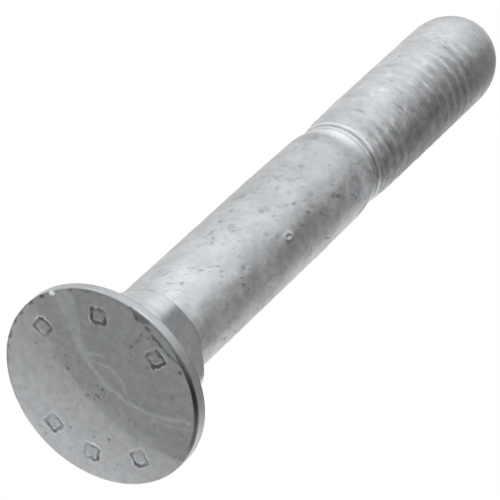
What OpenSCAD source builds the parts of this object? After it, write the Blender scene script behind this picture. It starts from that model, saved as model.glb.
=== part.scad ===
// Flat countersunk bolt with a short square neck, a plain shank and a rolled thread.
// It stands on its head: the flat face lies in the plane z = 0 and the shank rises along +Z.

/* [Head] */
// Diameter of the head across its rim
head_d = 24.3; // [21:0.1:28]
// Height of the straight rim above the face
rim_h = 1.45; // [0.8:0.05:2.5]
// Radius of the round between the face and the rim
face_edge_r = 0.15; // [0.1:0.05:0.6]
// Included angle of the countersunk cone under the rim
cone_angle = 90; // [80:1:100]

/* [Square neck] */
// Width of the square neck across its flats
square_w = 12.3; // [12.1:0.1:13.2]
// Radius of the square neck's rounded corners
corner_r = 2.6; // [1:0.1:4]
// Height of the square neck above the countersunk cone
square_h = 3.7; // [2.5:0.1:8]
// Angle between the axis and the slopes that end the corners
corner_slope = 45; // [35:1:60]

/* [Shank] */
// Overall length from the face to the tip
bolt_l = 90; // [80:1:120]
// Diameter of the plain shank
shank_d = 12; // [11.8:0.05:12.1]
// Length over which the shank is slightly drawn in before its shoulder
drawn_h = 9.2; // [4:0.2:12]
// Diameter at the end of the drawn stretch
drawn_d = 11.8; // [11.4:0.05:11.8]
// Length of the rounded shoulder below the thread
shoulder_h = 3.4; // [2:0.1:5]
// Diameter of the rolled blank just below the thread
blank_d = 10.95; // [10.6:0.05:11.1]

/* [Thread] */
// Length from the end of the shoulder to the tip
thread_l = 37.1; // [30:0.1:45]
// Diameter over the crests of the thread
thread_d = 11.75; // [11.5:0.05:11.8]
// Rise of the thread in one turn
pitch = 1.75; // [1.25:0.05:2]
// Turns over which the thread grows to its full depth
lead_in = 1.6; // [0.5:0.1:3]
// Turns over which the grooves run out below the tip
run_out = 2; // [1:0.1:3]
// Height of the rounded tip
tip_h = 7.4; // [4:0.1:9]

/* [Hidden] */
$fn = 96;

// Heights of the sections of the turned profile
head_r = head_d / 2;
shank_r = shank_d / 2;
blank_r = blank_d / 2;
crest_r = thread_d / 2;
cone_top = rim_h + (head_r - shank_r) / tan(cone_angle / 2);
neck_top = cone_top + square_h;
shoulder_top = bolt_l - thread_l;
shoulder_foot = shoulder_top - shoulder_h;
drawn_foot = shoulder_foot - drawn_h;
tip_foot = bolt_l - tip_h;

// Thread form: 60 degree flanks, flat crests of an eighth and flat roots of a quarter of the pitch
crest_share = 1 / 8;
root_share = 1 / 4;
flank_half_angle = 30;
flank_share = (1 - crest_share - root_share) / 2;
thread_h = flank_share * pitch / tan(flank_half_angle);
row_shares = [0, crest_share, crest_share + flank_share, crest_share + flank_share + root_share];
rows = len(row_shares);
first_root_row = 2;

// The threaded rod starts inside the shank's blank end, and its rod is a little thinner than that end
blank_stub = 0.7;
rod_sink = 1.3;
rod_inset = 0.06;
rod_foot = shoulder_top - rod_sink;
rod_r = blank_r - rod_inset;
lead_foot = shoulder_top + blank_stub;
columns = 32;

// Turns of the rod's surface: a flat start disc, the screw, and a spiral over the rounded tip
start_turns = 1;
screw_turns = (tip_foot - rod_foot) / pitch;
turns = ceil(start_turns + screw_turns + tip_h / pitch);
tip_turns = turns - start_turns - screw_turns;

function smooth(x) = let (t = min(max(x, 0), 1)) t * t * (3 - 2 * t);

// Share of the full thread depth at height z
function thread_share(z) =
    smooth((z - lead_foot) / (lead_in * pitch)) * smooth((tip_foot - z) / (run_out * pitch));

// Radius over the crests at height z, below the tip
function crest_line(z) = rod_r + (crest_r - rod_r) * smooth((z - lead_foot) / (lead_in * pitch));

// Distance from the axis and height of the rod's surface after s turns, on profile row k
function rod_point(s, k) =
    s < start_turns ? [rod_r * s / start_turns, rod_foot]
    : s < start_turns + screw_turns
        ? let (z = rod_foot + (s - start_turns) * pitch)
          [crest_line(z) - (k < first_root_row ? 0 : thread_h * thread_share(z)), z]
        : let (q = 90 * (s - start_turns - screw_turns) / tip_turns)
          [crest_r * cos(q), tip_foot + tip_h * sin(q)];

// Point number of column i on row j, where a row's end is the start of the row one turn on
function rod_index(i, j) = i < columns ? j * columns + i : rod_index(i - columns, j + rows);

module threaded_rod() {
    last_row = rows * (turns - 1);
    points = [
        for (j = [0 : rows * turns])
            for (i = [0 : columns - 1])
                let (k = j % rows)
                let (s = min(floor(j / rows) + i / columns + row_shares[k], turns))
                let (p = rod_point(s, k))
                [p[0] * cos(360 * i / columns), p[0] * sin(360 * i / columns), p[1]]
    ];
    side = [
        for (j = [0 : last_row - 1])
            for (i = [0 : columns - 1])
                for (upper = [false, true])
                    upper
                        ? [rod_index(i, j), rod_index(i, j + 1), rod_index(i + 1, j + 1)]
                        : [rod_index(i, j), rod_index(i + 1, j + 1), rod_index(i + 1, j)]
    ];
    foot = concat(
        [for (i = [1 : columns - 2]) [rod_index(0, 0), rod_index(i, 0), rod_index(i + 1, 0)]],
        [for (j = [0 : rows - 1]) [rod_index(columns - 1, 0), rod_index(0, j + 1), rod_index(0, j)]]
    );
    top = concat(
        [for (i = [1 : columns - 2])
            [rod_index(columns, last_row), rod_index(i + 1, last_row), rod_index(i, last_row)]],
        [for (j = [0 : rows - 1])
            [rod_index(1, last_row), rod_index(0, last_row + j), rod_index(0, last_row + j + 1)]]
    );
    polyhedron(points, concat(side, foot, top), convexity = 10);
}

// Section of the head's foot, with a true round between the face and the rim
module head_edge_section() {
    square([head_r - face_edge_r, rim_h]);
    translate([0, face_edge_r])
        square([head_r, rim_h - face_edge_r]);
    translate([head_r - face_edge_r, face_edge_r])
        circle(face_edge_r);
}

// Section of the shoulder: an arc that leaves the drawn stretch straight and steepens to the blank
module shoulder_section() {
    drop = (drawn_d - blank_d) / 2;
    arc_r = (shoulder_h * shoulder_h + drop * drop) / (2 * drop);
    intersection() {
        translate([0, shoulder_foot])
            square([shank_r, shoulder_h]);
        translate([drawn_d / 2 - arc_r, shoulder_foot])
            circle(arc_r);
    }
}

// Section of the head, cone, shank, shoulder and blank end
module turned_section() {
    head_edge_section();
    shoulder_section();
    polygon([
        [0, face_edge_r],
        [head_r, face_edge_r],
        [head_r, rim_h],
        [shank_r, cone_top],
        [shank_r, drawn_foot],
        [drawn_d / 2, shoulder_foot],
        [blank_r, shoulder_foot],
        [blank_r, lead_foot],
        [0, lead_foot]
    ]);
}

// Outline of the square neck, with true round corners
module neck_outline() {
    flat_w = square_w - 2 * corner_r;
    square([square_w, flat_w], center = true);
    square([flat_w, square_w], center = true);
    for (x = [-1, 1])
        for (y = [-1, 1])
            translate([x * flat_w / 2, y * flat_w / 2])
                circle(corner_r);
}

// Square neck: a square bar whose top is cut by a cone, so that its corners slope into the shank
module square_neck() {
    neck_foot = rim_h;
    reach = square_w / sqrt(2);
    intersection() {
        translate([0, 0, neck_foot])
            linear_extrude(neck_top - neck_foot)
                neck_outline();
        rotate_extrude()
            polygon([
                [0, neck_foot],
                [reach, neck_foot],
                [reach, neck_top - (reach - shank_r) / tan(corner_slope)],
                [shank_r, neck_top],
                [0, neck_top]
            ]);
    }
}

module bolt() {
    color([0.71, 0.72, 0.73]) {
        rotate_extrude()
            turned_section();
        square_neck();
        threaded_rod();
    }
}

bolt();
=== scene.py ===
"""A zinc-coated countersunk bolt with a square neck, standing on its head in a white studio.

The bolt is one closed surface: a radius worked out for each angle round the axis and each height, with a
flat face below and a round tip above. Shapes are worked out in millimetres, and MM turns them into metres.
"""

import math

import bpy
import numpy as np
from mathutils import Matrix, Vector


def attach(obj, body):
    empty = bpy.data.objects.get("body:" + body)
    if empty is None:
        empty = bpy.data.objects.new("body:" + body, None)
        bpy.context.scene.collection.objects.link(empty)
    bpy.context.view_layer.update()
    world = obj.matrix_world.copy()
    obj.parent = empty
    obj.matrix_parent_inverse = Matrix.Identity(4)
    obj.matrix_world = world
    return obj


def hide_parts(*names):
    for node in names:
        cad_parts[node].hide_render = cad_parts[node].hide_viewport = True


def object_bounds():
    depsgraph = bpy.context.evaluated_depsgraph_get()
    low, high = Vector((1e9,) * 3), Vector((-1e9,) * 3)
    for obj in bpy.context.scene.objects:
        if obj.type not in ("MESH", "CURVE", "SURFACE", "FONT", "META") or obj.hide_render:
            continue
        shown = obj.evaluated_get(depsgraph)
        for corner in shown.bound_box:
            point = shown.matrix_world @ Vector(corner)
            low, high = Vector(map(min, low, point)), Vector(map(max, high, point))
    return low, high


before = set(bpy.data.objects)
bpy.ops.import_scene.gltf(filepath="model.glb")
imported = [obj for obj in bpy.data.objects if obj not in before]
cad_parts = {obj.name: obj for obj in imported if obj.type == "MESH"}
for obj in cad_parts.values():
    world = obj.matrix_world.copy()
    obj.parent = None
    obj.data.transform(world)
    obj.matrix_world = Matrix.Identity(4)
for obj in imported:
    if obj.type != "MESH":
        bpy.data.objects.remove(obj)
cad_low, cad_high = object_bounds()

# A millimetre in metres, and the seed of all that is strewn by chance
MM = 0.001
SEED = 11

# Sizes of the bolt, in millimetres
HEAD_R = min(-cad_low.x, cad_high.x, -cad_low.y, cad_high.y) / MM
BOLT_L = cad_high.z / MM
RIM_H = 1.42
RIM_LEAN = 0.2
RIM_BEND = 2
RIM_TALL_SIDE = math.radians(70)
FACE_EDGE_R = 0.12
CONE_TOP = 7.6
CONE_SLOPE = math.tan(math.radians(45))
SQUARE_HALF = 6.15
SQUARE_CORNER_R = 2.6
SQUARE_H = 3.7
CORNER_SLOPE = math.tan(math.radians(45))
SHANK_R = 6.0
DRAWN_R = 5.9
BLANK_R = 5.475
CREST_R = 5.875
DRAWN_H = 9.2
SHOULDER_H = 3.4
SHOULDER_BEND = 2.2
THREAD_L = 36.65
TIP_H = 7.4
TIP_BLEND = 2.0
PITCH = 1.75

# Heights that follow from the sizes
NECK_TOP = CONE_TOP + SQUARE_H
SHOULDER_TOP = BOLT_L - THREAD_L
SHOULDER_FOOT = SHOULDER_TOP - SHOULDER_H
DRAWN_FOOT = SHOULDER_FOOT - DRAWN_H
TIP_FOOT = BOLT_L - TIP_H

# Thread as the coating leaves it: soft crests, shallow grooves
THREAD_DEPTH = 0.072
CREST_SHARE = 0.1
ROOT_SHARE = 0.1
LEAD_GAP = 0.6
LEAD_FOOT = SHOULDER_TOP + LEAD_GAP
CREST_GROWTH = 2.2
LEAD_IN = 3.2
RUN_OUT = 8.0

# Lumps of the coating on the thread: how much they change its depth, how far they stand out, and how many
# times wider than high they are
LUMP_SHARE = 0.3
LUMP_H = 0.006
LUMP_STRETCH = 2.5

# Grid: columns round the bolt, and rows along each stretch of its outline
COLUMNS = 200
FACE_COLUMNS = 2 * COLUMNS
FACE_ROWS = 56
EDGE_ROWS = 3
RIM_STEP = 0.24
CONE_STEP = 1.2
CREASE = 0.03
NECK_STEP = 0.2
CONE_ROWS_TOP = CONE_TOP - 1
NECK_ROWS_TOP = NECK_TOP + 0.3
SHANK_STEP = 0.25
SHOULDER_STEP = 0.2
RUN_IN_H = 3.4
RUN_IN_STEP = 0.11
THREAD_STEP = 0.22
TIP_ROWS = 18


def smooth_step(low, high, value):
    """0 below low, 1 above high, and an S-shaped cubic between them."""
    t = np.clip((value - low) / (high - low), 0, 1)
    return t * t * (3 - 2 * t)


def between(value, low, high, soft):
    """1 between low and high, falling to 0 over the soft width outside each."""
    return smooth_step(low - soft, low, value) * smooth_step(high + soft, high, value)


def bell(distance, width):
    """A bell of height 1 and of that width: e to the minus square of distance over width."""
    return np.exp(-((distance / width) ** 2))


def steps(low, high, step):
    """Heights from low to high about one step apart, with low left out."""
    count = max(1, round((high - low) / step))
    return low + (high - low) * np.arange(1, count + 1) / count


def wave_field(u, v, rng, count, longest, shortest, turns_round=None):
    """Smooth random relief of about unit height: a sum of plane waves with random directions and phases.

    Wave lengths lie between longest and shortest. Where turns_round gives a radius, u is an angle and each
    wave has a whole number of turns round a bolt of that radius, so that the field closes on itself.
    """
    total = np.zeros(np.broadcast(u, v).shape)
    for _ in range(count):
        length = longest * (shortest / longest) ** rng.random()
        direction = rng.random() * 2 * math.pi
        wave_u = 2 * math.pi * math.cos(direction) / length
        wave_v = 2 * math.pi * math.sin(direction) / length
        if turns_round:
            wave_u = round(wave_u * turns_round)
        total += np.cos(wave_u * u + wave_v * v + rng.random() * 2 * math.pi)
    return total * math.sqrt(2 / count)


# Face

# A plain hollow square is stamped at each first angle, deepest towards its second angle, in degrees
STAMPS = ((-118, 20), (-66, 200), (-15, 110), (158, 300), (124, 250), (84, 40))
STAMP_RING_R = 9.1
STAMP_HALF = 0.85
STAMP_CORNER_R = 0.25
STAMP_HALF_WIDTH = 0.25
STAMP_SIDE = 0.08
STAMP_DEPTH = 0.12
# Shift of a copy of the stamps: where it lies outside them, a painted highlight lights their edges
STAMP_GLINT_SHIFT = (-0.1, 0.16)

# Depth of a stamp as a share: inside its square, in its band on the mean, and more towards its deep side
STAMP_FLOOR = 0.3
STAMP_MEAN = 0.72
STAMP_SLANT = 0.28

# Curved lines on the face, each given by the ends and the middle pull of a quadratic curve
FORGE_LINE = ((-0.6, -11.2), (-2.2, 3.2), (9.7, 5.6))
SHEEN_EDGE = ((-3.9, -11.3), (-5.14, 4.11), (6.9, 10.2))
HAIRLINE = ((8.6, -5.7), (7.6, -4.7), (6.1, -4.1))

# The forging line starts as a pale wedge: its width at two places along Y
WEDGE_Y = (-11.0, -2.0)
WEDGE_WIDTH = (2.2, 0.3)

# Parts of faint rings in the face: radius, and the ends as angles in degrees
FACE_RINGS = ((3.1, -78, 20), (4.2, -87, -64))

# Small pits in the face: place, half width and depth
FACE_PITS = (
    (-2.8, -4.4, 0.17, 0.04),
    (-3.3, -2.8, 0.22, 0.06),
    (-1.3, -3.4, 0.16, 0.04),
    (-0.2, -7.3, 0.15, 0.04),
    (-2.0, 6.3, 0.24, 0.05),
    (5.8, -3.3, 0.16, 0.04),
    (9.0, -4.9, 0.2, 0.05),
    (11.2, -0.4, 0.25, 0.06),
    (6.9, 2.0, 0.16, 0.04),
    (-5.6, 2.0, 0.16, 0.04),
    (-7.9, -3.4, 0.15, 0.04),
    (-4.5, -4.2, 0.15, 0.04),
    (-7.5, -5.6, 0.15, 0.03),
    (6.45, 4.1, 0.15, 0.04),
    (-8.8, -0.2, 0.16, 0.03),
    (-10.1, 4.5, 0.2, 0.04),
    (-4.2, 1.6, 0.15, 0.04),
)

# Small oval specks: how many lie all over the face, and how many in the smudge near its middle
SPECK_COUNT = 80
SMUDGE_COUNT = 12
SMUDGE_AT = (-0.5, 0.4)
SMUDGE_R = 0.8

# Specks keep this far from the edge. Their half length, half width and strength: the least, and how much more
SPECK_INSET = 1
SPECK_LENGTH = (0.14, 0.2)
SPECK_WIDTH = (0.1, 0.05)
SPECK_STRENGTH = (0.25, 0.6)

# A strip along the edge was folded over in forging: its angles in degrees, and its inner radius at each
LAP_ANGLES = (-33, -27, -20, -12, -5)
LAP_RADII = (11.2, 10.85, 10.85, 11.1, 11.75)

# A dark scuff beside the edge: its angles in degrees, and its inner radius at each
SCUFF_ANGLES = (-47, -40, -34)
SCUFF_RADII = (12.0, 11.05, 11.6)

# Stretches of the edge between two angles in degrees: speckled with dirt, with a thin dark line, and dark
DIRTY_EDGE_ANGLES = (180, 285)
EDGE_LINE_ANGLES = (190, 352)
DARK_EDGE_ANGLES = (-10, 42)

# The blackest place of the dark stretch, and a small bright nick in the edge, as angles in degrees
BLACK_EDGE_ANGLE = 12
BLACK_EDGE_HALF_ANGLE = 18
NICK_ANGLE = -95
NICK_INSET = 0.15

# Relief of the face, in millimetres
FACE_WAVE_H = 0.02
LINE_RISE = 0.016
LINE_STEP = 0.02
RING_RISE = 0.012
CRACK_DEPTH = 0.07
FOLD_DEPTH = 0.07
NICK_DEPTH = 0.3

# Widths of the marks and how far their sides wander, in millimetres
LINE_WIDTH = 0.28
LINE_WOBBLE = 0.1
RING_WIDTH = 0.17
HAIR_WIDTH = 0.16
CRACK_WIDTH = 0.17
NICK_WIDTH = 0.25
RAGGED = 0.05

# Tone of the darker side, and how much paler the band beside the forging line, the wedge and the line are,
# partly the face's own tone and partly painted reflection
DARKER_SIDE_TONE = 0.925
BAND_LIFT = 0.07
BAND_EDGE_LIFT = 0.12
WEDGE_LIFT = 0.2
LINE_LIFT = 0.26

# Tone of the pale side at the middle, its fall along X, its rise along Y and its loss beside the sheen's
# edge, partly the face's own tone and partly painted reflection
PALE_TONE = 0.994
PALE_FALL_X = 0.036
PALE_RISE_Y = 0.028
SHEEN_EDGE_LOSS = 0.04

# Brightening of the rings and of a streak beside the forging line, the painted highlight on the stamps' lit
# sides, and the brightening of the nick
RING_LIFT = 0.26
STREAK_LIFT = 0.2
PAINTED_GLINT_LIFT = 0.8
NICK_LIFT = 1.1


def curve_points(ends, count=80):
    """Points along a quadratic curve from its first to its last end, pulled to the middle point."""
    t = np.linspace(0, 1, count)[:, None]
    first, pull, last = (np.array(p) for p in ends)
    return (1 - t) ** 2 * first + 2 * t * (1 - t) * pull + t**2 * last


def signed_distance(x, y, ends):
    """Distance from each point to a quadratic curve, positive on the left of its way."""
    points = curve_points(ends)
    away = np.stack([x[..., None] - points[:, 0], y[..., None] - points[:, 1]])
    nearest = np.argmin((away**2).sum(0), axis=-1)[..., None]
    dx = np.take_along_axis(away[0], nearest, -1)[..., 0]
    dy = np.take_along_axis(away[1], nearest, -1)[..., 0]
    way = np.gradient(points, axis=0)[nearest[..., 0]]
    side = np.sign(way[..., 0] * dy - way[..., 1] * dx)
    return side * np.hypot(dx, dy)


def stamps(x, y):
    """Depth share of the stamped squares: a band of even width along a square with round corners.

    The distance to the square's outline is that to a smaller square, less the corner radius. Each square
    was struck askew, so that its depth grows from one side to the other.
    """
    depth = np.zeros_like(x)
    inner = STAMP_HALF - STAMP_CORNER_R
    for degrees, deep_side in STAMPS:
        turn = math.radians(degrees)
        tilt = math.radians(deep_side)
        out = x * math.cos(turn) + y * math.sin(turn) - STAMP_RING_R
        along = -x * math.sin(turn) + y * math.cos(turn)
        slant = np.clip((out * math.cos(tilt) + along * math.sin(tilt)) / STAMP_HALF, -1, 1)
        past_x = np.abs(out) - inner
        past_y = np.abs(along) - inner
        outside = np.hypot(np.maximum(past_x, 0), np.maximum(past_y, 0))
        off = np.abs(outside + np.minimum(np.maximum(past_x, past_y), 0) - STAMP_CORNER_R)
        band = smooth_step(STAMP_HALF_WIDTH + STAMP_SIDE, STAMP_HALF_WIDTH - STAMP_SIDE, off)
        floor = STAMP_FLOOR * smooth_step(STAMP_CORNER_R, 0, outside)
        depth = np.maximum(depth, np.maximum(band, floor) * (STAMP_MEAN + STAMP_SLANT * slant))
    return depth


def specks(x, y, rng, count, middle, reach):
    """Share of dirt in oval specks strewn evenly over a disc, each a bell over its own turned axes."""
    share = np.zeros_like(x)
    for _ in range(count):
        away = reach * math.sqrt(rng.random())
        where = rng.random() * 2 * math.pi
        turn = rng.random() * math.pi
        half_length = SPECK_LENGTH[0] + SPECK_LENGTH[1] * rng.random() ** 2
        half_width = SPECK_WIDTH[0] + SPECK_WIDTH[1] * rng.random()
        strength = SPECK_STRENGTH[0] + SPECK_STRENGTH[1] * rng.random() ** 2
        right = x - middle[0] - away * math.cos(where)
        up = y - middle[1] - away * math.sin(where)
        along = right * math.cos(turn) + up * math.sin(turn)
        across = up * math.cos(turn) - right * math.sin(turn)
        share = np.maximum(share, strength * bell(np.hypot(along / half_length, across / half_width), 1))
    return share


def beside_edge(radius, start, full):
    """0 farther than start from the edge of the head, 1 nearer than full, and a soft step between."""
    return smooth_step(HEAD_R - start, HEAD_R - full, radius)


def face_tone_and_painted_sheen(x, y, line, beyond, polish):
    """Tone of the bare face, partly its own and partly painted reflection: a pale side that slopes along X
    and Y, mixed by the polish with a darker side.

    The darker side is paler in the band between the forging line and the sheen's edge, in the wedge at the
    line's start, and along the line.
    """
    wedge_w = np.interp(y, WEDGE_Y, WEDGE_WIDTH)
    wedge = smooth_step(0.2, -0.2, line) * smooth_step(-wedge_w - 0.3, -wedge_w + 0.1, line)
    wedge = wedge * smooth_step(-2, -5, y)
    band = polish * smooth_step(-0.3, 0.3, line)
    paler = BAND_LIFT + BAND_EDGE_LIFT * smooth_step(-1.9, -0.3, beyond) * smooth_step(-3, 3, y)
    paler = paler * band * smooth_step(6.5, 2.5, x)
    darker_side = DARKER_SIDE_TONE + paler + WEDGE_LIFT * wedge
    darker_side = darker_side + LINE_LIFT * bell(line, 0.24) * smooth_step(-6, -3, y)
    pale_side = PALE_TONE - PALE_FALL_X * x + PALE_RISE_Y * np.maximum(y, -6)
    pale_side = pale_side - SHEEN_EDGE_LOSS * smooth_step(0.9, 0, beyond)
    return pale_side + (darker_side - pale_side) * polish


def face_relief(x, y):
    """How far the face lies above its lowest plane, with the dirt and shade, the polish, and the tone with
    its painted reflection and highlights.

    The height adds up gentle waves, a raised forging line, faint rings, askew stamps, pits, a folded strip
    beside the edge and a nick in it. The dirt and shade share is the most of all that darkens a place.
    """
    rng = np.random.default_rng(SEED)
    radius = np.hypot(x, y)
    angle = np.degrees(np.arctan2(y, x))
    waves = FACE_WAVE_H * (1.2 + 0.5 * wave_field(x, y, rng, 24, 12, 2.5))
    wobble = LINE_WOBBLE * wave_field(x, y, np.random.default_rng(SEED + 5), 12, 5.0, 2.5)
    line = signed_distance(x + wobble, y - wobble, FORGE_LINE)
    ridge = -LINE_RISE * bell(line, LINE_WIDTH) + LINE_STEP * smooth_step(-0.4, 0.4, line)
    rings = np.zeros_like(x)
    for ring_r, first, last in FACE_RINGS:
        rings = np.maximum(rings, bell(radius - ring_r, RING_WIDTH) * between(angle, first, last, 8))
    ragged = RAGGED * wave_field(x, y, rng, 24, 1.2, 0.6)
    worn = 0.65 + 0.35 * smooth_step(-0.7, 0.4, wave_field(x, y, rng, 24, 3.0, 1.0))
    stamped = stamps(x + ragged, y - ragged) * worn
    glint_copy = stamps(x + ragged + STAMP_GLINT_SHIFT[0], y - ragged + STAMP_GLINT_SHIFT[1]) * worn
    pits = np.zeros_like(x)
    for at_x, at_y, half, deep in FACE_PITS:
        pits += deep * bell(np.hypot(x - at_x, y - at_y), half)
    strewn = specks(x, y, rng, SPECK_COUNT, (0, 0), HEAD_R - SPECK_INSET)
    smudge = specks(x, y, np.random.default_rng(SEED + 4), SMUDGE_COUNT, SMUDGE_AT, SMUDGE_R)
    speckle = smooth_step(-0.1, 0.9, wave_field(x, y, rng, 40, 2.0, 0.6))
    soiled = smooth_step(-0.9, 0.6, wave_field(x, y, rng, 24, 9.0, 3.0))
    lap_r = np.interp(angle, LAP_ANGLES, LAP_RADII) + ragged
    in_lap = between(angle, LAP_ANGLES[0], LAP_ANGLES[-1], 4)
    crack = in_lap * bell(radius - lap_r, CRACK_WIDTH) * (0.65 + 0.35 * speckle)
    fold = in_lap * FOLD_DEPTH * smooth_step(lap_r, lap_r + 1, radius)
    from_nick = np.hypot(radius - HEAD_R + NICK_INSET, HEAD_R * np.radians(angle - NICK_ANGLE))
    nick = bell(from_nick, NICK_WIDTH)
    relief = waves + ridge - RING_RISE * rings + STAMP_DEPTH * stamped
    relief = relief + pits + CRACK_DEPTH * crack + fold + NICK_DEPTH * nick
    beyond = signed_distance(x, y, SHEEN_EDGE)
    soft = 0.18 + 0.35 * smooth_step(1, -5, y)
    polish = 1 - smooth_step(-soft, soft, beyond)
    dark_edge = between(angle, *DARK_EDGE_ANGLES, 12) * beside_edge(radius, 0.55, 0.35)
    black_edge = dark_edge * bell(angle - BLACK_EDGE_ANGLE, BLACK_EDGE_HALF_ANGLE)
    streak = bell(line - 0.8, 0.16) * smooth_step(3.6, 4.8, x)
    # Painted highlight along the stamps' edges, where the shifted copy lies outside them
    painted_glint = np.clip(glint_copy - stamped, 0, 1)
    # The tone: partly the face's own tone and partly painted reflection, with brightening of the rings, the
    # streak and the nick, and the painted highlight on the stamps
    tone_and_painted_light = face_tone_and_painted_sheen(x, y, line, beyond, polish) + RING_LIFT * rings + STREAK_LIFT * streak
    tone_and_painted_light = (tone_and_painted_light + PAINTED_GLINT_LIFT * painted_glint + NICK_LIFT * nick) * (1 - black_edge)
    dirty_side = between(angle % 360, *DIRTY_EDGE_ANGLES, 12)
    edge_dirt = beside_edge(radius, 0.55, 0.25) * speckle * (0.4 + 0.6 * soiled)
    edge_dirt = edge_dirt * (0.3 + 0.7 * dirty_side)
    edge_line = between(angle % 360, *EDGE_LINE_ANGLES, 4) * beside_edge(radius, 0.3, 0.15)
    scuff_r = np.interp(angle, SCUFF_ANGLES, SCUFF_RADII) + ragged
    in_scuff = between(angle, SCUFF_ANGLES[0], SCUFF_ANGLES[-1], 2)
    scuff = in_scuff * smooth_step(scuff_r - 0.2, scuff_r + 0.2, radius) * (0.62 + 0.33 * speckle)
    hairline = bell(signed_distance(x, y, HAIRLINE), HAIR_WIDTH) * (0.36 + 0.2 * speckle)
    soil_and_shade = [
        stamped * (0.9 + 0.4 * polish),
        16 * pits,
        strewn,
        1.3 * smudge,
        crack,
        hairline,
        0.9 * edge_dirt,
        scuff,
        0.45 * edge_line,
        0.65 * dark_edge,
        black_edge,
    ]
    dirt_and_shade = np.maximum.reduce(soil_and_shade) * (1 - nick)
    return np.maximum(relief, 0), np.clip(dirt_and_shade, 0, 1), polish, tone_and_painted_light


# Side

def rounded_square(angle):
    """Distance from the axis to a square with round corners, along each angle.

    Along a flat it is the half width over the cosine of the angle from the flat's middle. At a corner it is
    where the ray leaves the corner's circle, by the cosine rule.
    """
    centre = SQUARE_HALF - SQUARE_CORNER_R
    reach = centre * math.sqrt(2)
    from_flat = (angle + math.pi / 4) % (math.pi / 2) - math.pi / 4
    from_corner = math.pi / 4 - np.abs(from_flat)
    inside = np.maximum(SQUARE_CORNER_R**2 - (reach * np.sin(from_corner)) ** 2, 0)
    corner = reach * np.cos(from_corner) + np.sqrt(inside)
    on_flat = np.abs(from_flat) < math.atan2(centre, SQUARE_HALF)
    return np.where(on_flat, SQUARE_HALF / np.cos(from_flat), corner)


def rim_height(angle):
    """Height of the rim, more on one side of the head than the other: a soft step of the angle's cosine."""
    return RIM_H + RIM_LEAN * np.tanh(RIM_BEND * np.cos(angle - RIM_TALL_SIDE))


def neck_radius(angle, height):
    """Radius of the cone, the square neck and the shank: the outermost of the three.

    The neck is the rounded square, cut off above by a cone that slopes down to the shank.
    """
    cone = HEAD_R - (height - rim_height(angle)) * CONE_SLOPE
    slope = SHANK_R + (NECK_TOP - height) * CORNER_SLOPE
    neck = np.minimum(rounded_square(angle), slope)
    return np.maximum(np.maximum(cone, neck), SHANK_R)


def shank_radius(height):
    """Radius of the shank: straight, then drawn in slightly, then bending down the shoulder to the blank."""
    drawn = np.interp(height, [DRAWN_FOOT, SHOULDER_FOOT], [SHANK_R, DRAWN_R])
    fall = np.clip((height - SHOULDER_FOOT) / SHOULDER_H, 0, 1) ** SHOULDER_BEND
    return drawn - (DRAWN_R - BLANK_R) * fall


def thread_radius(angle, height):
    """Radius of the screw, and how deep in its groove each place lies.

    A crest line grows out of the blank, less a groove that winds round it. The groove's place is the height
    in pitches less the angle in turns, which makes a right-hand thread.
    """
    grown = 1 - np.exp(-np.maximum(height - LEAD_FOOT, 0) / CREST_GROWTH)
    crest = BLANK_R + (CREST_R - BLANK_R) * grown
    turns = (height - LEAD_FOOT) / PITCH - angle / (2 * math.pi)
    from_crest = 2 * np.abs(turns - np.round(turns))
    groove = smooth_step(CREST_SHARE, 1 - ROOT_SHARE, from_crest)
    share = smooth_step(LEAD_FOOT, LEAD_FOOT + LEAD_IN, height)
    share = share * smooth_step(TIP_FOOT, TIP_FOOT - RUN_OUT, height)
    rng = np.random.default_rng(SEED + 3)
    lumps = wave_field(angle, LUMP_STRETCH * height, rng, 80, 6.0, 2.0, SHANK_R)
    depth = THREAD_DEPTH * share * (1 + LUMP_SHARE * lumps)
    return crest - depth * groove + LUMP_H * share * lumps, share * groove


# Rings left by rolling just below the thread: height above the shoulder, width, rise and brightening, which
# paints highlights on some rings and shade on the lines between them
ROLL_RINGS = (
    (-0.35, 0.5, 0.0, 0.16),
    (0.1, 0.14, -0.015, -0.36),
    (0.42, 0.13, 0.015, 0.06),
    (0.85, 0.2, -0.025, -0.6),
    (1.33, 0.18, 0.02, 0.12),
)

# Heights above the shoulder: the stretch that rolling smoothed, where that has faded, and a dull stretch
ROLLED_STRETCH = (-1.1, 1.3)
ROLLED_ENDS = (-2.0, 1.7)
DULL_STRETCH = (-3.5, -2.4)

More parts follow.
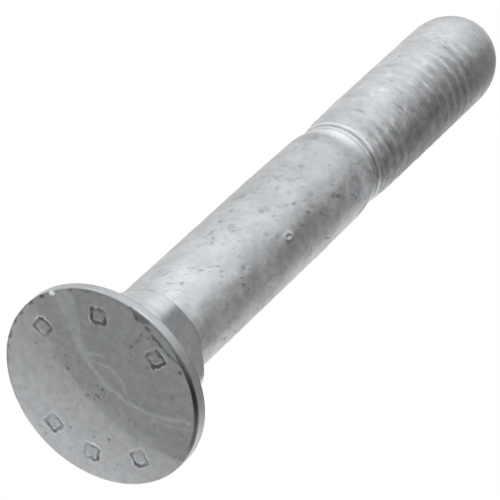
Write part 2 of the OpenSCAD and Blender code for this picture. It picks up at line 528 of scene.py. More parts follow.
# Dents in the shank: angle in degrees, height, half length, half width, turn from the axis, depth
DENTS = (
    (-14.4, 31.3, 0.3, 0.25, 0, 0.07),
    (-25.0, 30.1, 0.5, 0.3, 50, 0.06),
    (-75.4, 28.2, 0.6, 0.25, -45, 0.07),
    (-64.6, 24.5, 0.5, 0.22, -45, 0.06),
    (-60.8, 23.6, 0.5, 0.22, -45, 0.07),
    (-48.1, 32.7, 0.6, 0.4, 20, 0.06),
    (-44.0, 33.6, 0.4, 0.3, -30, 0.05),
    (-66.3, 39.6, 0.9, 0.22, -50, 0.06),
    (-55.5, 43.4, 0.8, 0.25, -40, 0.06),
    (-56.6, 47.0, 0.7, 0.2, -20, 0.05),
    (-56.1, 37.7, 0.7, 0.22, -15, 0.06),
    (-74.6, 36.6, 0.4, 0.2, -15, 0.05),
    (-3.7, 48.6, 0.5, 0.35, 0, 0.06),
    (17.5, 48.0, 0.35, 0.3, 0, 0.08),
    (-4.9, 43.7, 0.45, 0.35, 30, 0.07),
    (-22.9, 40.6, 0.4, 0.3, 0, 0.05),
    (-35.8, 49.2, 0.35, 0.25, 0, 0.05),
    (-33.2, 46.5, 0.45, 0.25, 30, 0.05),
    (-42.3, 38.2, 0.4, 0.25, 0, 0.04),
    (-64.8, 26.6, 0.3, 0.25, 0, 0.05),
    (-57.3, 26.9, 0.3, 0.25, 0, 0.05),
    (-1.9, 23.9, 0.5, 0.18, 40, 0.05),
    (-14.3, 23.7, 0.4, 0.3, 0, 0.05),
    (-12.5, 39.3, 0.6, 0.25, 40, 0.06),
    (3.0, 24.8, 0.6, 0.18, 60, 0.05),
)

# Pits strewn over the side: how many, and their half length, half width and depth,
# each as the least and how much more
PIT_COUNT = 110
PIT_LENGTH = (0.2, 0.4)
PIT_WIDTH = (0.18, 0.1)
PIT_DEPTH = (0.015, 0.04)

# A crater with a raised lip, and the painted shade beside it, whose offset leaves a painted highlight on the
# lip: angle in degrees, height, half length, half width and turn from the axis
CRATER = (-7.5, 33.1, 0.8, 0.4, 12)
CRATER_PAINTED_SHADE = (-5.0, 33.0, 0.8, 0.4, 12)

# A painted glint lights the edge of the rim about this angle, in degrees, for this far either way
LIP_GLINT_ANGLE = -38
LIP_GLINT_HALF_ANGLE = 6

# Paler and darker patches, partly the coating's own tone and partly painted light and shade: angle and half
# angle in degrees, height, half length, brightening
TONE_AND_LIGHT_PATCHES = (
    (20, 23, 45.4, 4.0, 0.17),
    (20, 23, 51.7, 1.6, 0.65),
    (20, 23, 55.0, 0.9, -0.3),
    (-51, 28, 12.0, 8.0, 0.22),
    (-1, 13, 36.5, 4.5, -0.24),
    (-46, 60, 38.5, 6.0, -0.07),
    (44, 15, 24.5, 6.0, -0.24),
    (-31, 20, 56.0, 2.5, -0.16),
    (29, 22, 49.0, 1.5, 0.18),
    (24, 15, 70.0, 10.0, 0.18),
)

# Waves and ripples of the coating on the side, and the crater's depth and lip height, in millimetres
SIDE_WAVE_H = 0.012
SIDE_RIPPLE_H = 0.004
CRATER_DEPTH = 0.09
CRATER_LIP_H = 0.06

# The crater's hole and lip as shares of its oval, and the depth at which a dent is full of dirt
CRATER_HOLE = 0.7
CRATER_LIP = 0.9
CRATER_LIP_WIDTH = 0.35
FULL_DENT = 0.12

# Brightening of the rolled stretch and of the neck, partly painted highlight, and of the thread, then painted
# highlights on the crater's lit lip, on the flecks on the thread, and in the gleam and the glint on the rim's
# edge
ROLLED_LIFT = 0.25
NECK_LIFT = 0.08
THREAD_LIFT = 0.05
PAINTED_CRESCENT_LIFT = 0.8
FLECK_GLINT_LIFT = 0.16
PAINTED_GLEAM_LIFT = 0.3
LIP_GLINT_LIFT = 0.9

# Dulling of the dull stretch and of the rim, the painted shade on the tip, and the share of the tip's height
# where that shade is full
STRETCH_DULLING = 0.04
RIM_DULLING = 0.15
TIP_PAINTED_SHADE = 0.33
TIP_SHADE_FULL_FROM = 0.45


def degrees_from(angle, degrees):
    """How far an angle in radians lies past one in degrees, between minus and plus half a turn."""
    return (np.degrees(angle) - degrees + 180) % 360 - 180


def oval_distance(angle, height, degrees, at, half_length, half_width, turn):
    """Distance from a place on the side, as a share of an oval's half length and half width."""
    around = SHANK_R * np.radians(degrees_from(angle, degrees))
    up = height - at
    tilt = math.radians(turn)
    along = up * math.cos(tilt) + around * math.sin(tilt)
    across = around * math.cos(tilt) - up * math.sin(tilt)
    return np.hypot(along / half_length, across / half_width)


def side_wear(angle, height):
    """Depth of the dents and pits at each place of the side: a sum of bells over turned ovals."""
    rng = np.random.default_rng(SEED + 1)
    depth = np.zeros(np.broadcast(angle, height).shape)
    for *oval, deep in DENTS:
        depth += deep * bell(oval_distance(angle, height, *oval), 1)
    for _ in range(PIT_COUNT):
        degrees = rng.random() * 360
        at = NECK_TOP + 1 + rng.random() * (TIP_FOOT - NECK_TOP)
        half_length = PIT_LENGTH[0] + PIT_LENGTH[1] * rng.random() ** 2
        half_width = PIT_WIDTH[0] + PIT_WIDTH[1] * rng.random()
        turn = rng.random() * 180
        deep = PIT_DEPTH[0] + PIT_DEPTH[1] * rng.random() ** 2
        depth += deep * bell(oval_distance(angle, height, degrees, at, half_length, half_width, turn), 1)
    return depth


def side_rows():
    """Heights of the level rows from the cone to the foot of the tip, closer where the outline turns."""
    run_in_top = SHOULDER_TOP + RUN_IN_H
    return np.concatenate([
        steps(CONE_ROWS_TOP, NECK_ROWS_TOP, NECK_STEP),
        steps(NECK_ROWS_TOP, SHOULDER_FOOT, SHANK_STEP),
        steps(SHOULDER_FOOT, SHOULDER_TOP, SHOULDER_STEP),
        steps(SHOULDER_TOP, run_in_top, RUN_IN_STEP),
        steps(run_in_top, TIP_FOOT, THREAD_STEP),
    ])


def head_rows(angle):
    """Heights over the rim and the cone: they follow the rim's lean and come level near the cone's top."""
    rim = rim_height(angle)
    up_rim = np.append(steps(0, 1 - CREASE, RIM_STEP / RIM_H), 1)[:, None]
    up_cone = np.append(CREASE / 4, steps(CREASE, 1, CONE_STEP / (CONE_TOP - RIM_H)))[:, None]
    return np.concatenate([
        FACE_EDGE_R + (rim - FACE_EDGE_R) * up_rim,
        rim + (CONE_ROWS_TOP - rim) * up_cone,
    ])


def tone_and_light_patches(angle, height, crust):
    """Brightening by the patches, partly the coating's own tone and partly painted light and shade: a sum of
    bells, each over an angle and a height.
    """
    total = 0 * height
    for degrees, half_angle, at, half_length, brighter in TONE_AND_LIGHT_PATCHES:
        spot = bell(degrees_from(angle, degrees), half_angle) * bell(height - at, half_length)
        total = total + brighter * crust * spot
    return total


def side_surface(angle):
    """Radius and height over the side from the rim to the foot of the tip, with what the finish needs there.

    The radius is that of the rim, the neck, the shank or the screw at each height, with rolled rings, waves,
    dents and a crater added. Soft steps along the height tell the stretches apart.
    """
    level = side_rows()[:, None] + 0 * angle
    height = np.concatenate([head_rows(angle), level])
    rng = np.random.default_rng(SEED + 2)
    screw, groove = thread_radius(angle, height)
    radius = np.where(height < NECK_TOP, neck_radius(angle, height), shank_radius(height))
    radius = np.where(height > SHOULDER_TOP, screw, radius)
    past_shoulder = height - SHOULDER_TOP
    # Painted highlights on some rolled rings and painted shade on the lines between them
    ring_light = 0 * height
    for at, width, swell, brighter in ROLL_RINGS:
        ring = bell(past_shoulder - at, width)
        radius = radius + swell * ring
        ring_light = ring_light + brighter * ring
    on_rim = height <= rim_height(angle)
    radius = np.where(on_rim, HEAD_R, radius)
    waves = SIDE_WAVE_H * wave_field(angle, height, rng, 60, 7, 1.6, SHANK_R)
    waves = waves + SIDE_RIPPLE_H * wave_field(angle, height, rng, 80, 1.8, 0.8, SHANK_R)
    crust = smooth_step(NECK_TOP - 0.5, NECK_TOP + 0.5, height)
    before_tip = smooth_step(TIP_FOOT, TIP_FOOT - TIP_BLEND, height)
    wear = side_wear(angle, height)
    from_crater = oval_distance(angle, height, *CRATER)
    # Painted shade beside the crater, and a painted highlight on its lip where the lip lies outside that
    # shade
    from_shade = oval_distance(angle, height, *CRATER_PAINTED_SHADE)
    hole = bell(from_crater, CRATER_HOLE)
    lip = bell(from_crater - CRATER_LIP, CRATER_LIP_WIDTH)
    painted_crater_shade = bell(from_shade - CRATER_LIP, CRATER_LIP_WIDTH)
    radius = radius + before_tip * crust * (waves - wear) - CRATER_DEPTH * hole + CRATER_LIP_H * lip
    on_thread = smooth_step(SHOULDER_TOP, SHOULDER_TOP + 2, height)
    rolled = smooth_step(ROLLED_ENDS[0], ROLLED_STRETCH[0], past_shoulder)
    rolled = rolled * smooth_step(ROLLED_ENDS[1], ROLLED_STRETCH[1], past_shoulder)
    dull = between(past_shoulder, *DULL_STRETCH, 0.6)
    on_neck = between(height, CONE_TOP, NECK_TOP, 0.4)
    # Painted shade along the neck's top edge and in its corner to the shank, and along the rim's top edge
    to_slope = rounded_square(angle) - SHANK_R - (NECK_TOP - height) * CORNER_SLOPE
    neck_shade_line = np.maximum(on_neck * bell(to_slope, 0.15), bell(height - NECK_TOP, 0.2))
    rim_shade_line = bell(height - rim_height(angle), 0.1)
    # Painted glints on the thread's crests, and a painted gleam and glint along the rim's lower edge
    fleck_field = wave_field(angle, height, rng, 80, 3.0, 1.2, SHANK_R)
    glint_flecks = on_thread * before_tip * (1 - groove) * smooth_step(0.9, 1.7, fleck_field)
    gleam_field = wave_field(angle, 0, rng, 12, 12, 2, HEAD_R)
    painted_gleam = on_rim * bell(height - FACE_EDGE_R, 0.3) * smooth_step(-0.3, 0.8, gleam_field)
    painted_lip_glint = on_rim * bell(height - FACE_EDGE_R, 0.25)
    painted_lip_glint = painted_lip_glint * bell(degrees_from(angle, LIP_GLINT_ANGLE), LIP_GLINT_HALF_ANGLE)
    # Dirt in the dents and the crater's hole, and painted shade in the thread's grooves, beside the crater
    # and along the neck's and the rim's edges
    soil_and_shade = [
        before_tip * crust * wear * (1 - 0.4 * on_thread) / FULL_DENT,
        0.06 * groove * on_thread,
        0.7 * np.clip(painted_crater_shade - lip, 0, 1),
        0.3 * hole,
        0.55 * neck_shade_line,
        0.5 * rim_shade_line,
    ]
    smooth_parts = [0.8 * rolled, 0.9 * on_neck, 0.35 * on_thread, 0.4 * on_rim]
    # Brightening, partly painted highlight on the rolled stretch, its rings and the neck, and painted
    # highlights on the crater's lip, the flecks and the rim's edge
    tone_and_painted_light = 1 + ROLLED_LIFT * rolled + ring_light + NECK_LIFT * on_neck + THREAD_LIFT * on_thread
    tone_and_painted_light = tone_and_painted_light - STRETCH_DULLING * dull - RIM_DULLING * on_rim
    tone_and_painted_light = tone_and_painted_light + PAINTED_CRESCENT_LIFT * np.clip(lip - painted_crater_shade, 0, 1) + FLECK_GLINT_LIFT * glint_flecks
    tone_and_painted_light = tone_and_painted_light + PAINTED_GLEAM_LIFT * painted_gleam + LIP_GLINT_LIFT * painted_lip_glint + tone_and_light_patches(angle, height, crust)
    values = {
        "dirt_and_shade": np.clip(np.maximum.reduce(soil_and_shade), 0, 1),
        "polish": np.maximum.reduce(smooth_parts) - dull,
        "crust": (0.3 + 0.7 * crust) * (1 - 0.6 * rolled),
        "tone_and_painted_light": tone_and_painted_light,
        "screw": on_thread,
    }
    return radius, height, values


# Whole bolt

# How thick the coating's crust is on the face and on its round edge, as a share
FACE_CRUST = 0.12
EDGE_CRUST = 0.2


def face_grid():
    """Points of the face and of its round edge in rows round the axis, with the numbers the finish needs."""
    angle = np.arange(FACE_COLUMNS)[None, :] * 2 * math.pi / FACE_COLUMNS
    flat_r = (HEAD_R - FACE_EDGE_R) * np.arange(1, FACE_ROWS + 1)[:, None] / FACE_ROWS
    flat_z, dirt_and_shade, polish, tone_and_painted_light = face_relief(flat_r * np.cos(angle), flat_r * np.sin(angle))
    quarter = np.arange(1, EDGE_ROWS + 1)[:, None] / EDGE_ROWS * math.pi / 2
    edge_r = HEAD_R - FACE_EDGE_R * (1 - np.sin(quarter)) + 0 * angle
    edge_z = FACE_EDGE_R * (1 - np.cos(quarter)) + flat_z[-1:] * np.cos(quarter)
    radius = np.concatenate([flat_r + 0 * angle, edge_r])
    height = np.concatenate([flat_z, edge_z])
    values = {
        "dirt_and_shade": np.concatenate([dirt_and_shade, dirt_and_shade[-1:] + 0 * edge_r]),
        "polish": np.concatenate([polish, 0 * edge_r]),
        "crust": np.concatenate([FACE_CRUST + 0 * flat_z, EDGE_CRUST + 0 * edge_r]),
        "tone_and_painted_light": np.concatenate([tone_and_painted_light, tone_and_painted_light[-1:] + 0 * edge_r]),
        "screw": 0 * radius,
    }
    return np.stack([radius * np.cos(angle), radius * np.sin(angle), height], -1), values


def side_grid():
    """Points of the side and the tip, a quarter oval, in rows round the axis, with what the finish needs."""
    angle = np.arange(COLUMNS)[None, :] * 2 * math.pi / COLUMNS
    side_r, side_z, side_values = side_surface(angle)
    rise = np.arange(1, TIP_ROWS + 1)[:, None] / (TIP_ROWS + 1) * math.pi / 2
    tip_r = side_r[-1:] * np.cos(rise)
    tip_z = TIP_FOOT + TIP_H * np.sin(rise) + 0 * angle
    # Painted shade darkens the tip towards its top
    tip_tone_and_shade = side_values["tone_and_painted_light"][-1:] - TIP_PAINTED_SHADE * smooth_step(0, TIP_SHADE_FULL_FROM, np.sin(rise))
    tip_values = {"dirt_and_shade": 0, "polish": 0, "crust": 1, "tone_and_painted_light": tip_tone_and_shade, "screw": 1}
    radius = np.concatenate([side_r, tip_r])
    height = np.concatenate([side_z, tip_z])
    values = {}
    for name, on_tip in tip_values.items():
        values[name] = np.concatenate([side_values[name], on_tip + 0 * tip_r])
    return np.stack([radius * np.cos(angle), radius * np.sin(angle), height], -1), values


def ring_faces(points):
    """Four-sided faces between neighbouring rows of point numbers that each close on themselves."""
    after = np.roll(points, -1, axis=1)
    return np.stack([points[:-1], after[:-1], after[1:], points[1:]], -1).reshape(-1, 4)


def seam_faces(fine, coarse):
    """Three triangles a column between a closed row of point numbers and the next row with half as many."""
    start, middle = fine[0::2], fine[1::2]
    end = np.roll(start, -1)
    after = np.roll(coarse, -1)
    corners = [(start, middle, coarse), (middle, after, coarse), (middle, end, after)]
    return np.concatenate([np.stack(corner, -1) for corner in corners])


def make_bolt():
    """One closed mesh: the face's fine grid, the side's grid, a seam between them and a fan at either end."""
    face, face_values = face_grid()
    side, side_values = side_grid()
    poles = np.array([[0, 0, face[0, :, 2].mean()], [0, 0, BOLT_L]])
    points = np.concatenate([poles, face.reshape(-1, 3), side.reshape(-1, 3)])
    face_at = len(poles) + np.arange(face[..., 0].size).reshape(face.shape[:2])
    side_at = face_at[-1, -1] + 1 + np.arange(side[..., 0].size).reshape(side.shape[:2])
    inner, outer = face_at[0], side_at[-1]
    faces = [
        np.stack([0 * inner, np.roll(inner, -1), inner], -1),
        ring_faces(face_at),
        seam_faces(face_at[-1], side_at[0]),
        ring_faces(side_at),
        np.stack([0 * outer + 1, outer, np.roll(outer, -1)], -1),
    ]
    mesh = bpy.data.meshes.new("zinc_bolt")
    mesh.from_pydata((points * MM).tolist(), [], [face for part in faces for face in part.tolist()])
    mesh.polygons.foreach_set("use_smooth", np.ones(len(mesh.polygons), bool))
    for name, on_face in face_values.items():
        on_side = side_values[name]
        numbers = np.concatenate([on_face[0, :1], on_side[-1, :1], on_face.ravel(), on_side.ravel()])
        stored = mesh.attributes.new(name, "FLOAT", "POINT")
        stored.data.foreach_set("value", numbers.astype(np.float32))
    mesh.update()
    piece = bpy.data.objects.new("zinc_bolt", mesh)
    bpy.context.scene.collection.objects.link(piece)
    piece.data.materials.append(zinc_coating())
    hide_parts("bolt")
    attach(piece, "root")


# Finish

# Colours of the zinc where it is dull and where it is pale, and of the dirt and the painted shade
DULL_ZINC = (0.438, 0.453, 0.468, 1)
PALE_ZINC = (0.662, 0.677, 0.692, 1)
DIRT_AND_SHADE_GREY = (0.07, 0.073, 0.077, 1)

# Marks slant by this turn in radians a millimetre, and their noise is drawn out by this scale along them
MARK_TWIST = 0.085
MARK_STRETCH = 0.4

# Height of the coating's lumps, in metres
LUMP_BUMP = 0.035 * MM


def put(tree, socket, value):
    """Links a socket to another node's output, or sets it to a plain value."""
    if isinstance(value, bpy.types.NodeSocket):
        tree.links.new(value, socket)
    else:
        socket.default_value = value


def node(tree, kind, **sockets):
    """Adds a node and links or sets its named sockets."""
    made = tree.nodes.new(kind)
    for name, value in sockets.items():
        put(tree, made.inputs[name], value)
    return made


def spread(tree, value, low, high, to_low, to_high):
    """The value's range from low to high laid smoothly over to_low to to_high, and held at its ends."""
    made = tree.nodes.new("ShaderNodeMapRange")
    made.interpolation_type = "SMOOTHSTEP"
    names = ("Value", "From Min", "From Max", "To Min", "To Max")
    for name, number in zip(names, (value, low, high, to_low, to_high)):
        put(tree, made.inputs[name], number)
    return made.outputs["Result"]


def arithmetic(tree, operation, *values):
    """One step of arithmetic on sockets or numbers."""
    made = tree.nodes.new("ShaderNodeMath")
    made.operation = operation
    for socket, value in zip(made.inputs, values):
        put(tree, socket, value)
    return made.outputs[0]


def attribute(tree, name):
    """A number stored on the points of the mesh."""
    made = tree.nodes.new("ShaderNodeAttribute")
    made.attribute_name = name
    return made.outputs["Fac"]


def noise(tree, place, per_mm, detail, roughness):
    """Cloudy noise with about that many clouds per millimetre."""
    made = node(tree, "ShaderNodeTexNoise", Vector=place, Scale=per_mm, Detail=detail, Roughness=roughness)
    return made.outputs["Fac"]


def stretched(tree, place, scale):
    """Places multiplied by a scale along X, Y and Z."""
    return node(tree, "ShaderNodeMapping", Vector=place, Scale=scale).outputs["Vector"]


def twisted(tree, place):
    """Places turned round the axis by MARK_TWIST a millimetre and drawn out along it, for slanting marks."""
    height = node(tree, "ShaderNodeSeparateXYZ", Vector=place).outputs["Z"]
    turned = tree.nodes.new("ShaderNodeVectorRotate")
    turned.rotation_type = "Z_AXIS"
    put(tree, turned.inputs["Vector"], place)
    put(tree, turned.inputs["Angle"], arithmetic(tree, "MULTIPLY", height, -MARK_TWIST))
    return stretched(tree, turned.outputs["Vector"], (1, 1, MARK_STRETCH))


def zinc_coating():
    """Matt zinc: clouded silver grey, mottled and grainy, with short dark marks, dirt in the dents,
    painted shade in grooves and creases, and the painted light and shade that the tone carries.
    """
    material = bpy.data.materials.new("zinc_coating")
    material.use_nodes = True
    tree = material.node_tree
    shader = tree.nodes["Principled BSDF"]
    shader.inputs["Metallic"].default_value = 1.0
    place = tree.nodes.new("ShaderNodeTexCoord").outputs["Object"]
    place = stretched(tree, place, (1 / MM, 1 / MM, 1 / MM))
    clouds = noise(tree, place, 0.3, 3.0, 0.6)
    mottle = noise(tree, place, 1.1, 3.0, 0.6)
    grain = noise(tree, place, 2.4, 2.0, 0.6)
    crust = attribute(tree, "crust")
    slanting = noise(tree, twisted(tree, place), 1.5, 4.0, 0.65)
    flattened = stretched(tree, place, (MARK_STRETCH, MARK_STRETCH, 1))
    winding = noise(tree, flattened, 1.4, 4.0, 0.6)
    either = node(tree, "ShaderNodeMix", Factor=attribute(tree, "screw"), A=slanting, B=winding)
    strokes = spread(tree, either.outputs["Result"], 0.475, 0.33, 0.0, 1.0)
    patches = spread(tree, noise(tree, place, 0.28, 2.0, 0.5), 0.37, 0.56, 0.0, 1.0)
    broken = spread(tree, noise(tree, place, 1.8, 2.0, 0.5), 0.35, 0.55, 0.5, 1.0)
    strewn = arithmetic(tree, "MULTIPLY", strokes, arithmetic(tree, "MULTIPLY", patches, broken))
    fainter = spread(tree, attribute(tree, "screw"), 0.0, 1.0, 0.6, 0.45)
    marks = arithmetic(tree, "MULTIPLY", arithmetic(tree, "MULTIPLY", strewn, fainter), crust)
    # Dark marks, dirt and painted shade pull the zinc towards the grey
    soiled = arithmetic(tree, "MAXIMUM", marks, attribute(tree, "dirt_and_shade"))
    blotches = spread(tree, noise(tree, place, 0.32, 4.0, 0.6), 0.46, 0.53, 0.42, 0.58)
    smooth_part = arithmetic(tree, "MULTIPLY_ADD", clouds, 0.4, arithmetic(tree, "MULTIPLY", mottle, 0.35))
    mixed = arithmetic(tree, "MULTIPLY_ADD", blotches, 0.25, smooth_part)
    swing = arithmetic(tree, "SUBTRACT", mixed, 0.5)
    calmed = arithmetic(tree, "MULTIPLY_ADD", swing, spread(tree, crust, 0.0, 1.0, 0.25, 1.0), 0.5)
    ramp = node(tree, "ShaderNodeValToRGB", Fac=calmed)
    dull, pale = ramp.color_ramp.elements
    dull.position = 0.34
    dull.color = DULL_ZINC
    pale.position = 0.64
    pale.color = PALE_ZINC
    # The tone scales the colour: the coating's own tone with painted highlights, shade and reflection
    toned = tree.nodes.new("ShaderNodeVectorMath")
    toned.operation = "SCALE"
    put(tree, toned.inputs[0], ramp.outputs["Color"])
    put(tree, toned.inputs["Scale"], attribute(tree, "tone_and_painted_light"))
    # Mixes in the grey of the dirt and the painted shade
    stain_and_shade = tree.nodes.new("ShaderNodeMix")
    stain_and_shade.data_type = "RGBA"
    share, clean, soil_and_shade = (stain_and_shade.inputs[i] for i in (0, 6, 7))
    put(tree, share, spread(tree, soiled, 0.0, 1.0, 0.0, 0.8))
    put(tree, clean, toned.outputs["Vector"])
    put(tree, soil_and_shade, DIRT_AND_SHADE_GREY)
    put(tree, shader.inputs["Base Color"], stain_and_shade.outputs[2])
    matt = spread(tree, mottle, 0.3, 0.7, 0.36, 0.46)
    smoother = arithmetic(tree, "MULTIPLY", attribute(tree, "polish"), 0.14)
    put(tree, shader.inputs["Roughness"], arithmetic(tree, "SUBTRACT", matt, smoother))
    lumps = arithmetic(tree, "MULTIPLY_ADD", mottle, 1.6, grain)
    height = arithmetic(tree, "MULTIPLY", arithmetic(tree, "SUBTRACT", lumps, marks), crust)
    relief = node(tree, "ShaderNodeBump", Strength=0.5, Distance=LUMP_BUMP, Height=height)
    put(tree, shader.inputs["Normal"], relief.outputs["Normal"])
    return material


# Camera

# The photograph is a square of this many pixels, and the bolt was measured in it
PHOTO_PX = 500
FOCAL_PX = 4074.2
SENSOR_MM = 36
FACE_CENTRE_PX = (100.7, 387.7)
PX_PER_SHANK = 110.56
AXIS_CLIMB = math.radians(43.02)
AXIS_AWAY = math.radians(42.0)
CAMERA_SIDE = math.radians(-26.4)

# The nearest and the farthest that the camera sees, as shares of its distance from the face
NEAREST = 0.01
FARTHEST = 100


def part_axes_in_view():
    """The part's X, Y and Z as rows, each in the camera's own right, down and forward.

    The axis leans AXIS_AWAY from the line of sight and climbs to the right at AXIS_CLIMB. The side of the
    bolt that faces the camera lies at the angle CAMERA_SIDE round the axis.
    """
    flat = math.sin(AXIS_AWAY)
    axis = np.array([math.cos(AXIS_CLIMB) * flat, -math.sin(AXIS_CLIMB) * flat, math.cos(AXIS_AWAY)])
    facing = axis[2] * axis - np.array([0, 0, 1])
    facing /= np.linalg.norm(facing)
    left = np.cross(facing, axis)
    x_axis = math.cos(CAMERA_SIDE) * facing + math.sin(CAMERA_SIDE) * left
    y_axis = math.sin(CAMERA_SIDE) * facing - math.cos(CAMERA_SIDE) * left
    return np.stack([x_axis, y_axis, axis])


VIEW = part_axes_in_view()


def in_part(right, down, forward):
    """A direction given as the photograph shows it, turned into the part's frame."""
    return Vector(VIEW @ np.array([right, down, forward])).normalized()


def make_camera():
    """A long lens that puts the face's centre, and the shank's width there, where the photograph has them."""
    depth = FOCAL_PX * 2 * SHANK_R * MM / PX_PER_SHANK
    offset = (np.array(FACE_CENTRE_PX) - PHOTO_PX / 2) / FOCAL_PX
    place = -VIEW @ (depth * np.array([offset[0], offset[1], 1]))
    right, down, forward = (Vector(column) for column in VIEW.T)
    lens = bpy.data.cameras.new("camera")
    lens.sensor_width = SENSOR_MM
    lens.lens = FOCAL_PX / PHOTO_PX * SENSOR_MM
    lens.clip_start = depth * NEAREST
    lens.clip_end = depth * FARTHEST
    camera = bpy.data.objects.new("camera", lens)
    bpy.context.scene.collection.objects.link(camera)
    turn = Matrix((right, -down, -forward)).transposed()
    camera.matrix_world = Matrix.Translation(Vector(place)) @ turn.to_4x4()
    bpy.context.scene.camera = camera


# Studio

# Half width of the floor, its drop below the face and the distance of the cards, in metres
FLOOR_HALF = 2.0
FLOOR_DROP = 0.02 * MM
CARD_FAR = 0.6

# Cards round the bolt, seen only in the metal: where each stands and which way is long, both as the
# photograph shows them, then its half length and half width in degrees, and its brightness
CARDS = {
    "side_flag": ((0.94, -0.06, 0.34), (-0.35, -0.2, 0.9), 62, 38, 0.33),
    "face_flag": ((-0.73, 0.68, -0.1), (0.68, 0.73, 0.0), 40, 40, 0.37),
    "band_box": ((0.36, -0.9, 0.24), (0.7, 0.2, 0.4), 30, 30, 1.2),
    "top_box": ((0.42, -0.58, 0.7), (0.7, 0.7, 0.1), 32, 26, 1.25),
    "back_card": ((-0.2, -0.3, 0.93), (0.7, 0.7, 0.1), 40, 40, 0.85),
}

# Dark upright flags below the bolt's foot, which its side mirrors where it is seen from above: the angle of
# each round the bolt in degrees, then their drop, half sizes in degrees and brightness
LOW_FLAGS = {"left_low_flag": -110, "front_low_flag": -20, "right_low_flag": 60}
LOW_FLAG_DROP = math.radians(30)
LOW_FLAG_HALF_HEIGHT = 44
LOW_FLAG_HALF_WIDTH = 30
LOW_FLAG_LEVEL = 0.08

# Curved dark gauzes beside the thread and the tip, seen only in the metal: the heights of each in
# millimetres, its ends as angles round the bolt in degrees, and how clear its middle is
GAUZES = {
    "thread_gauze": ((62, 109), (-74, 150), 0.48),
    "tip_gauze": ((112, 180), (-90, 80), 0.45),
}
GAUZE_R = 20
GAUZE_ROWS = 5
GAUZE_COLUMNS = 40
GAUZE_FADE = 0.6

# Lamp over one side of the bolt: the way to it, its distance and width in metres, and its power in watts
LAMP_WAY = (-0.35, -0.5, 0.8)
LAMP_FAR = 0.9
LAMP_W = 0.5
LAMP_POWER = 0.6


def sheet(name, corner_map, rows, columns):
    """A curved or flat sheet over a grid, with a map that runs from minus one to one along each way.

    The points are those that corner_map gives for the two map numbers.
    """
    across, along = np.meshgrid(np.linspace(-1, 1, columns + 1), np.linspace(-1, 1, rows + 1))
    points = corner_map(across.ravel(), along.ravel())
    start = np.arange(rows)[:, None] * (columns + 1) + np.arange(columns)
    faces = np.stack([start, start + 1, start + columns + 2, start + columns + 1], -1).reshape(-1, 4)
    mesh = bpy.data.meshes.new(name)
    mesh.from_pydata(points.tolist(), [], faces.tolist())
    spots = np.stack([across.ravel(), along.ravel()], -1)[faces.ravel()]
    mesh.uv_layers.new(name="spot").data.foreach_set("uv", spots.astype(np.float32).ravel())
    made = bpy.data.objects.new(name, mesh)
    bpy.context.scene.collection.objects.link(made)
    return made


def panel(name, centre, side, up, half_length, half_width):
    """A flat rectangle about its centre."""
    def place(across, along):
        reach = half_length * across[:, None] * np.array(side) + half_width * along[:, None] * np.array(up)
        return np.array(centre) + reach
    return sheet(name, place, 1, 1)


def see_through(tree, share, solid):
    """Lets light straight through by that share, and ends the material."""
    clear = tree.nodes.new("ShaderNodeBsdfTransparent")
    choice = tree.nodes.new("ShaderNodeMixShader")
    put(tree, choice.inputs[0], share)
    put(tree, choice.inputs[1], solid)
    put(tree, choice.inputs[2], clear.outputs["BSDF"])
    put(tree, tree.nodes["Material Output"].inputs["Surface"], choice.outputs["Shader"])


def pale_floor():
    """Matt white that shows from above and lets a camera below it look through."""
    material = bpy.data.materials.new("pale_floor")
    material.use_nodes = True
    tree = material.node_tree
    matt = tree.nodes["Principled BSDF"]
    matt.inputs["Base Color"].default_value = (0.9, 0.9, 0.9, 1)
    matt.inputs["Roughness"].default_value = 0.9
    matt.inputs["Specular IOR Level"].default_value = 0.0
    from_below = tree.nodes.new("ShaderNodeNewGeometry").outputs["Backfacing"]
    see_through(tree, from_below, matt.outputs["BSDF"])
    return material


def soft_card(name, level, middle=0.0, fade_from=0.25):
    """A card that glows at one level and fades out towards an oval edge. Its middle may be partly clear."""
    material = bpy.data.materials.new(name)
    material.use_nodes = True
    tree = material.node_tree
    tree.nodes.remove(tree.nodes["Principled BSDF"])
    glow = node(tree, "ShaderNodeEmission", Color=(1, 1, 1, 1), Strength=level)
    reach = tree.nodes.new("ShaderNodeVectorMath")
    reach.operation = "LENGTH"
    put(tree, reach.inputs[0], tree.nodes.new("ShaderNodeUVMap").outputs["UV"])
    faded = spread(tree, reach.outputs["Value"], fade_from, 1.0, middle, 1.0)
    see_through(tree, faded, glow.outputs["Emission"])
    return material


def in_metal_only(card):
    """Hides a card from everything but the metal's reflections."""
    card.visible_camera = False
    card.visible_diffuse = False
    card.visible_shadow = False


def make_floor():
    """A wide pale floor just under the face, which the metal does not mirror."""
    centre = Vector((0, 0, -FLOOR_DROP))
    floor = panel("floor", centre, Vector((1, 0, 0)), Vector((0, 1, 0)), FLOOR_HALF, FLOOR_HALF)
    floor.data.materials.append(pale_floor())
    floor.visible_shadow = False
    floor.visible_diffuse = False
    floor.visible_glossy = False


def make_card(name, direction, side, half_length, half_width, level):
    """A soft card far off in one direction, as many degrees long and wide as given."""
    side = (side - direction * side.dot(direction)).normalized()
    reach = [CARD_FAR * math.tan(math.radians(degrees)) for degrees in (half_length, half_width)]
    card = panel(name, direction * CARD_FAR, side, direction.cross(side), *reach)
    card.data.materials.append(soft_card(name, level))
    in_metal_only(card)


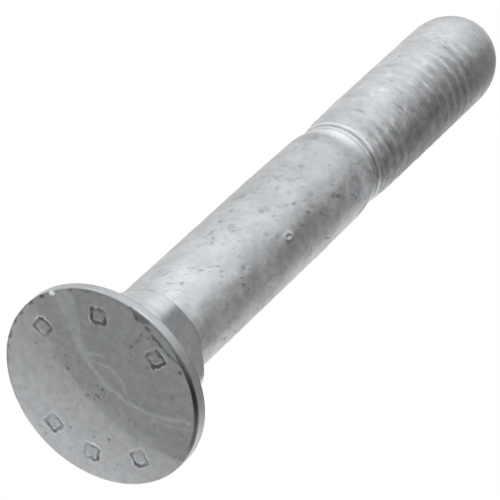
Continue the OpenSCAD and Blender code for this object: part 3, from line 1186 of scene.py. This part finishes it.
def make_gauze(name, heights, ends, clear):
    """A gauze is part of a tube about the bolt's axis, where the light that the metal mirrors comes past."""
    def place(across, along):
        angle = np.radians(np.interp(across, (-1, 1), ends))
        height = np.interp(along, (-1, 1), heights)
        return np.stack([GAUZE_R * np.cos(angle), GAUZE_R * np.sin(angle), height], -1) * MM
    gauze = sheet(name, place, GAUZE_ROWS, GAUZE_COLUMNS)
    gauze.data.materials.append(soft_card(name, 0.0, clear, GAUZE_FADE))
    in_metal_only(gauze)


def make_low_flag(name, degrees):
    """A dark card below the level of the foot, its long side upright, in one direction round the bolt."""
    turn = math.radians(degrees)
    level_way = Vector((math.cos(turn), math.sin(turn), 0))
    upright = Vector((0, 0, 1))
    direction = math.cos(LOW_FLAG_DROP) * level_way - math.sin(LOW_FLAG_DROP) * upright
    make_card(name, direction, upright, LOW_FLAG_HALF_HEIGHT, LOW_FLAG_HALF_WIDTH, LOW_FLAG_LEVEL)


def make_room():
    """A white world of strength 1."""
    world = bpy.data.worlds.new("white_room")
    bpy.context.scene.world = world
    world.use_nodes = True
    sky = world.node_tree.nodes["Background"]
    sky.inputs["Color"].default_value = (1, 1, 1, 1)
    sky.inputs["Strength"].default_value = 1.0


def make_lamp():
    """A round lamp over one side of the bolt, which the metal does not mirror."""
    lamp = bpy.data.lights.new("key_lamp", "AREA")
    lamp.shape = "DISK"
    lamp.size = LAMP_W
    lamp.energy = LAMP_POWER
    key = bpy.data.objects.new("key_lamp", lamp)
    bpy.context.scene.collection.objects.link(key)
    towards = Vector(LAMP_WAY).normalized()
    key.location = towards * LAMP_FAR
    key.rotation_mode = "QUATERNION"
    key.rotation_quaternion = towards.to_track_quat("Z", "Y")
    key.visible_glossy = False


def make_studio():
    """The floor, the cards, flags and gauzes that the metal mirrors, the white room and the lamp."""
    make_floor()
    for name, (where, long_way, *setting) in CARDS.items():
        make_card(name, in_part(*where), in_part(*long_way), *setting)
    for name, degrees in LOW_FLAGS.items():
        make_low_flag(name, degrees)
    for name, setting in GAUZES.items():
        make_gauze(name, *setting)
    make_room()
    make_lamp()


make_camera()
make_bolt()
make_studio()
bpy.context.scene.view_settings.view_transform = "Standard"
